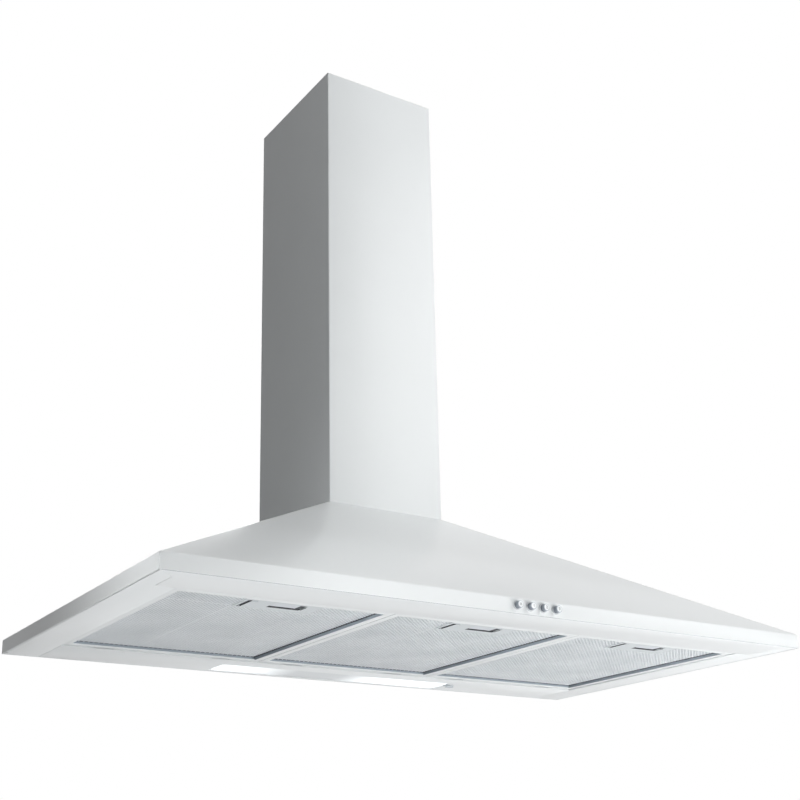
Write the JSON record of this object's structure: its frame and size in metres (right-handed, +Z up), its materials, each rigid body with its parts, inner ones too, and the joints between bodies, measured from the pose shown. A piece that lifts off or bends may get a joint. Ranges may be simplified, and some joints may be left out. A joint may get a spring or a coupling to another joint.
{
  "type": "chimney range hood",
  "caption": "White enamelled wall chimney hood: pyramid canopy with drop-down mesh filters, round push buttons, covered lamp, centrifugal blower and telescopic duct cover.",
  "frame": {"origin": "middle of the canopy's bottom rear edge, where the back panel's lower edge meets the wall", "axes": "+X along the wall to the right as seen from the wall's room side, +Y into the wall, +Z up"},
  "size_m": [0.9, 0.507, 0.8637],
  "materials": {
    "white_enamel": "gloss white enamel",
    "galvanised_sheet": "zinc coated",
    "filter_enamel": "satin white enamel",
    "filter_mesh": "satin, fine mesh",
    "latch_steel": "satin",
    "latch_white": "gloss white",
    "spring_steel": "bright",
    "cover_clear": "frosted, lets light through",
    "catch_plastic": "gloss",
    "holder_ceramic": "matte white",
    "lamp_glass": "frosted glass",
    "button_steel": "satin",
    "bezel_white": "gloss",
    "grey_plastic": "matte grey",
    "collar_plastic": "matte black",
    "wheel_plastic": "matte black",
    "motor_painted": "grey paint",
    "mount_rubber": "matte",
    "capacitor_white": "white"
  },
  "bodies": {
    "hood": {"canopy_shell": "white_enamel", "front_strip": "white_enamel", "side_strip_left": "white_enamel", "side_strip_right": "white_enamel", "light_panel": "white_enamel", "chimney_lower": "white_enamel", "back_panel": "galvanised_sheet", "hanger_plate_left": "galvanised_sheet", "hanger_plate_right": "galvanised_sheet", "light_tray": "galvanised_sheet", "blower_scroll": "galvanised_sheet", "blower_cheek_left": "galvanised_sheet", "blower_cheek_right": "galvanised_sheet", "top_plate": "galvanised_sheet", "motor_bracket": "galvanised_sheet", "chimney_wall_bar": "galvanised_sheet", "flap_pins": "spring_steel", "lamp_holders": "holder_ceramic", "lamp_bulbs": "lamp_glass", "button_bezels": "bezel_white", "switch_block": "grey_plastic", "inlet_ring_left": "grey_plastic", "inlet_ring_right": "grey_plastic", "terminal_box": "grey_plastic", "terminal_lid": "grey_plastic", "cable_gland": "grey_plastic", "outlet_collar": "collar_plastic", "motor": "motor_painted", "motor_mounts": "mount_rubber", "capacitor": "capacitor_white"},
    "filter_left": {"filter_frame_left": "filter_enamel", "filter_mesh_left": "filter_mesh", "latch_plate_left": "latch_steel", "latch_spring_left": "spring_steel"},
    "latch_left": {"latch_bar_left": "latch_white"},
    "filter_middle": {"filter_frame_middle": "filter_enamel", "filter_mesh_middle": "filter_mesh", "latch_plate_middle": "latch_steel", "latch_spring_middle": "spring_steel"},
    "latch_middle": {"latch_bar_middle": "latch_white"},
    "filter_right": {"filter_frame_right": "filter_enamel", "filter_mesh_right": "filter_mesh", "latch_plate_right": "latch_steel", "latch_spring_right": "spring_steel"},
    "latch_right": {"latch_bar_right": "latch_white"},
    "press_light": {"button_light": "button_steel"},
    "press_speed_low": {"button_speed_low": "button_steel"},
    "press_speed_middle": {"button_speed_middle": "button_steel"},
    "press_speed_high": {"button_speed_high": "button_steel"},
    "cover": {"light_cover": "cover_clear"},
    "catch": {"light_catch": "catch_plastic"},
    "fan": {"fan_wheel": "wheel_plastic", "motor_shaft": "spring_steel"},
    "damper_front": {"flap_front": "collar_plastic"},
    "damper_rear": {"flap_rear": "collar_plastic"},
    "upper_chimney": {"chimney_upper": "white_enamel", "chimney_head_bar": "galvanised_sheet"}
  },
  "joints": [
    {"name": "filter_left_drop", "type": "hinge", "parent": "hood", "child": "filter_left", "pos_m": [-0.26903, -0.0884, 0.0023], "axis": [1, 0, 0], "range_deg": [0, 55]},
    {"name": "latch_left_pull", "type": "slide", "parent": "filter_left", "child": "latch_left", "axis": [0, 1, 0], "range_m": [0, 0.0024], "stiffness_N_per_m": 400, "springref_m": -0.002, "deforming": ["latch_spring_left"]},
    {"name": "filter_middle_drop", "type": "hinge", "parent": "hood", "child": "filter_middle", "pos_m": [0, -0.0884, 0.0023], "axis": [1, 0, 0], "range_deg": [0, 55]},
    {"name": "latch_middle_pull", "type": "slide", "parent": "filter_middle", "child": "latch_middle", "axis": [0, 1, 0], "range_m": [0, 0.0024], "stiffness_N_per_m": 400, "springref_m": -0.002, "deforming": ["latch_spring_middle"]},
    {"name": "filter_right_drop", "type": "hinge", "parent": "hood", "child": "filter_right", "pos_m": [0.26903, -0.0884, 0.0023], "axis": [1, 0, 0], "range_deg": [0, 55]},
    {"name": "latch_right_pull", "type": "slide", "parent": "filter_right", "child": "latch_right", "axis": [0, 1, 0], "range_m": [0, 0.0024], "stiffness_N_per_m": 400, "springref_m": -0.002, "deforming": ["latch_spring_right"]},
    {"name": "cover_drop", "type": "hinge", "parent": "hood", "child": "cover", "pos_m": [-0.159, -0.033, 0.0017], "axis": [0, 1, 0], "range_deg": [0, 80]},
    {"name": "catch_slide", "type": "slide", "parent": "hood", "child": "catch", "axis": [1, 0, 0], "range_m": [0, 0.005]},
    {"name": "button_light_press", "type": "slide", "parent": "hood", "child": "press_light", "axis": [0, 1, 0], "range_m": [0, 0.003], "stiffness_N_per_m": 300, "springref_m": -0.001},
    {"name": "button_speed_low_press", "type": "slide", "parent": "hood", "child": "press_speed_low", "axis": [0, 1, 0], "range_m": [0, 0.003], "stiffness_N_per_m": 300, "springref_m": -0.001},
    {"name": "button_speed_middle_press", "type": "slide", "parent": "hood", "child": "press_speed_middle", "axis": [0, 1, 0], "range_m": [0, 0.003], "stiffness_N_per_m": 300, "springref_m": -0.001},
    {"name": "button_speed_high_press", "type": "slide", "parent": "hood", "child": "press_speed_high", "axis": [0, 1, 0], "range_m": [0, 0.003], "stiffness_N_per_m": 300, "springref_m": -0.001},
    {"name": "fan_spin", "type": "hinge", "parent": "hood", "child": "fan", "pos_m": [0, -0.15, 0.112], "axis": [1, 0, 0], "continuous": true},
    {"name": "damper_front_lift", "type": "hinge", "parent": "hood", "child": "damper_front", "pos_m": [0, -0.1075, 0.2498], "axis": [-1, 0, 0], "range_deg": [0, 75]},
    {"name": "damper_rear_lift", "type": "hinge", "parent": "hood", "child": "damper_rear", "pos_m": [0, -0.1005, 0.2498], "axis": [1, 0, 0], "range_deg": [0, 75]},
    {"name": "chimney_extend", "type": "slide", "parent": "hood", "child": "upper_chimney", "axis": [0, 0, 1], "range_m": [0, 0.3]}
  ]
}
